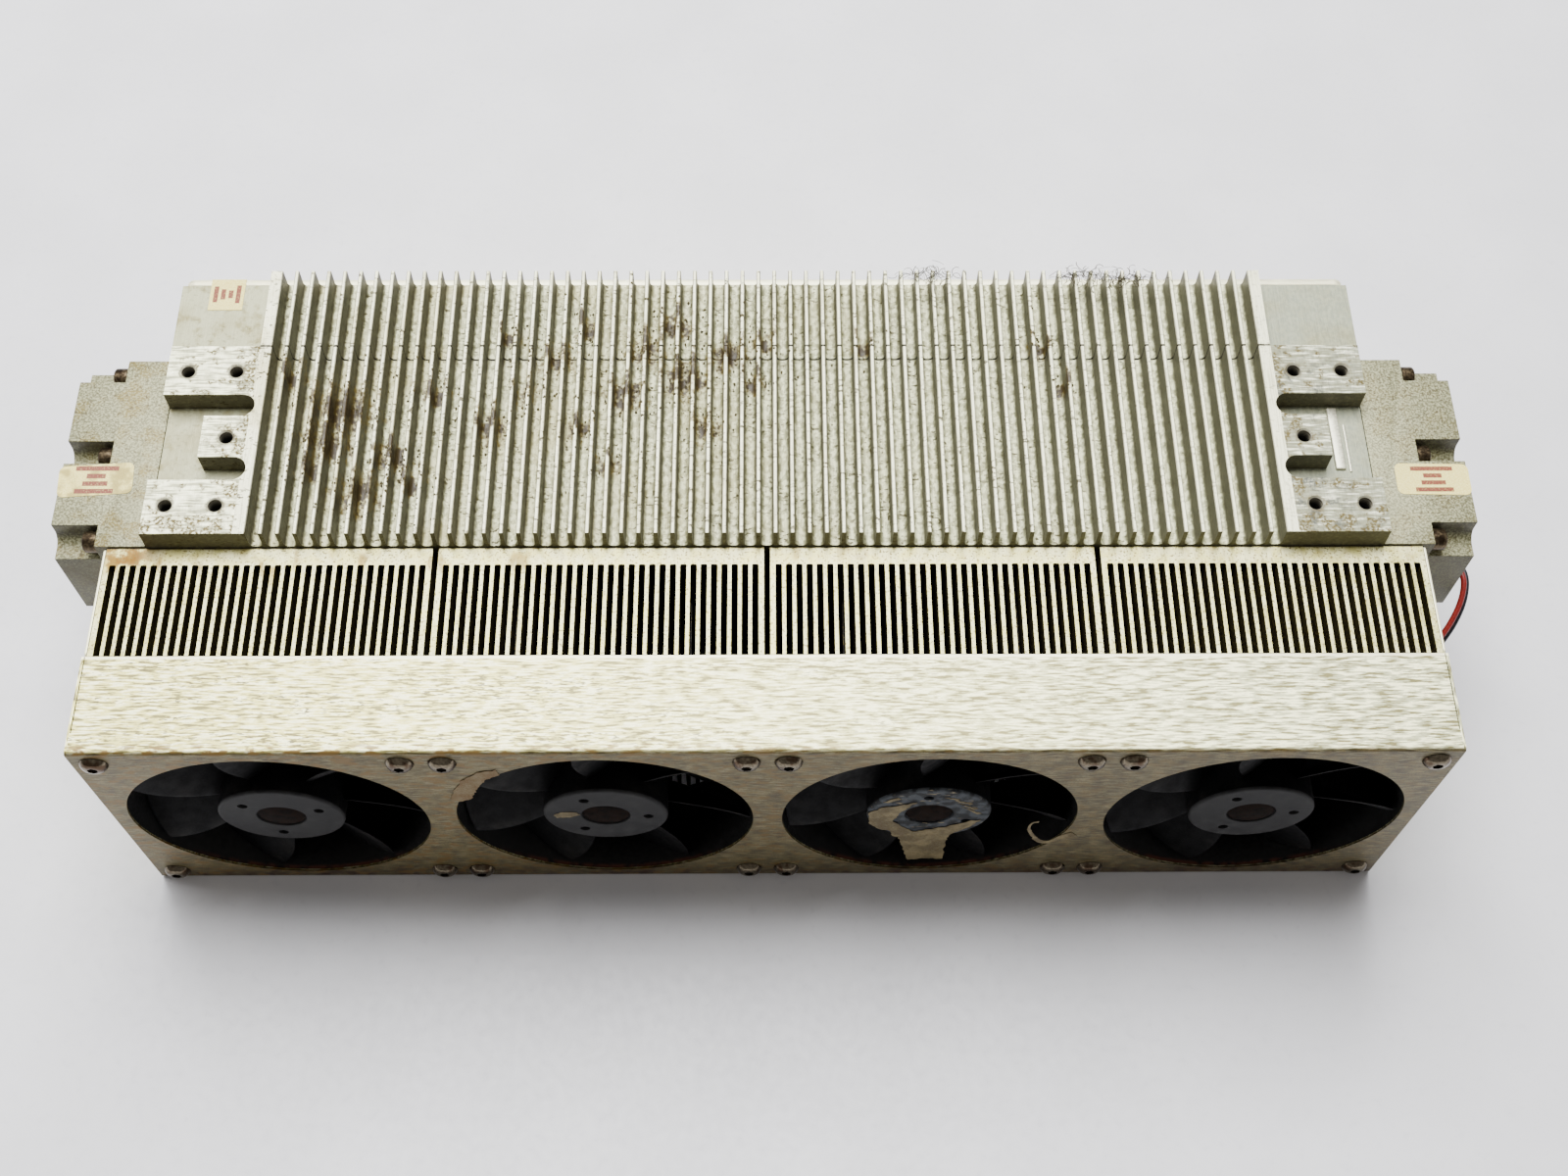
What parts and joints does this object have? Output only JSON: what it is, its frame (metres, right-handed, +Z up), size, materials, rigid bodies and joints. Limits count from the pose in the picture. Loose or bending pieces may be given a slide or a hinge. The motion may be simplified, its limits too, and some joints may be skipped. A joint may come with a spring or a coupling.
{
  "type": "forced-air heat sink assembly",
  "caption": "Long forced-air heat sink: axial fans in a brushed metal shroud blow through slotted heat sinks bolted to a finned cold plate with a pad and end cap at each end.",
  "frame": {"origin": "centre of the footprint on the resting plane, midway between the fan-screw heads and the rear cover", "axes": "+X along the row of fans, to the right seen from the fan side; +Y from the fans to the rear; +Z up. Millimetre source, metres in the record."},
  "size_m": [0.5277, 0.2038, 0.131],
  "materials": {
    "brushed_aluminium": "brushed, lightly stained",
    "extruded_aluminium": "matte anodised, machined bright on the pads",
    "heat_sink_aluminium": "satin, creamy",
    "machined_aluminium": "matte, speckled grey",
    "bronzed_screw": "dark bronze, rusty",
    "steel_screw": "bright",
    "fan_frame_black": "matte black",
    "rotor_plastic": "dusty black",
    "motor_winding": "varnished copper",
    "circuit_board": "green solder mask",
    "red_insulation": "satin",
    "black_insulation": "satin",
    "black_rubber": "matte",
    "seal_label": "satin, plain bars in place of print",
    "torn_tape": "dry paper tape, torn",
    "dust": "matte dirt and fluff"
  },
  "bodies": {
    "root": {"slab_front_extrusion": "extruded_aluminium", "slab_rear_extrusion": "extruded_aluminium", "rear_cover_plate": "brushed_aluminium", "left_end_cap": "machined_aluminium", "right_end_cap": "machined_aluminium", "lower_housing": "machined_aluminium", "bottom_cover": "brushed_aluminium", "driver_board": "circuit_board", "board_rail_front": "machined_aluminium", "board_rail_rear": "machined_aluminium", "terminal_block": "circuit_board", "heat_sink_1": "heat_sink_aluminium", "heat_sink_2": "heat_sink_aluminium", "heat_sink_3": "heat_sink_aluminium", "heat_sink_4": "heat_sink_aluminium", "fan_shroud": "brushed_aluminium", "left_end_plate": "brushed_aluminium", "right_end_plate": "brushed_aluminium", "fan_frame_1": "fan_frame_black", "fan_frame_2": "fan_frame_black", "fan_frame_3": "fan_frame_black", "fan_frame_4": "fan_frame_black", "fan_stator_1": "motor_winding", "fan_stator_2": "motor_winding", "fan_stator_3": "motor_winding", "fan_stator_4": "motor_winding", "fan_screw_1": "steel_screw", "fan_screw_2": "steel_screw", "fan_screw_3": "steel_screw", "fan_screw_4": "steel_screw", "fan_screw_5": "steel_screw", "fan_screw_6": "steel_screw", "fan_screw_7": "steel_screw", "fan_screw_8": "steel_screw", "fan_screw_9": "steel_screw", "fan_screw_10": "steel_screw", "fan_screw_11": "steel_screw", "fan_screw_12": "steel_screw", "fan_screw_13": "steel_screw", "fan_screw_14": "steel_screw", "fan_screw_15": "steel_screw", "fan_screw_16": "steel_screw", "end_cap_screw_1": "bronzed_screw", "end_cap_screw_2": "bronzed_screw", "end_cap_screw_3": "bronzed_screw", "end_cap_screw_4": "bronzed_screw", "end_cap_screw_5": "bronzed_screw", "end_cap_screw_6": "bronzed_screw", "lead_red": "red_insulation", "lead_black": "black_insulation", "lead_grommet": "black_rubber", "lead_socket": "black_rubber"},
    "rotor_1": {"fan_rotor_1": "rotor_plastic", "rotor_shaft_1": "steel_screw"},
    "rotor_2": {"fan_rotor_2": "rotor_plastic", "rotor_shaft_2": "steel_screw"},
    "rotor_3": {"fan_rotor_3": "rotor_plastic", "rotor_shaft_3": "steel_screw"},
    "rotor_4": {"fan_rotor_4": "rotor_plastic", "rotor_shaft_4": "steel_screw"}
  },
  "joints": [
    {"name": "rotor_spin_1", "type": "hinge", "parent": "root", "child": "rotor_1", "pos_m": [-0.1791, -0.0979, 0.0605], "axis": [0, 1, 0], "continuous": true},
    {"name": "rotor_spin_2", "type": "hinge", "parent": "root", "child": "rotor_2", "pos_m": [-0.0597, -0.0979, 0.0605], "axis": [0, 1, 0], "continuous": true},
    {"name": "rotor_spin_3", "type": "hinge", "parent": "root", "child": "rotor_3", "pos_m": [0.0597, -0.0979, 0.0605], "axis": [0, 1, 0], "continuous": true},
    {"name": "rotor_spin_4", "type": "hinge", "parent": "root", "child": "rotor_4", "pos_m": [0.1791, -0.0979, 0.0605], "axis": [0, 1, 0], "continuous": true}
  ]
}
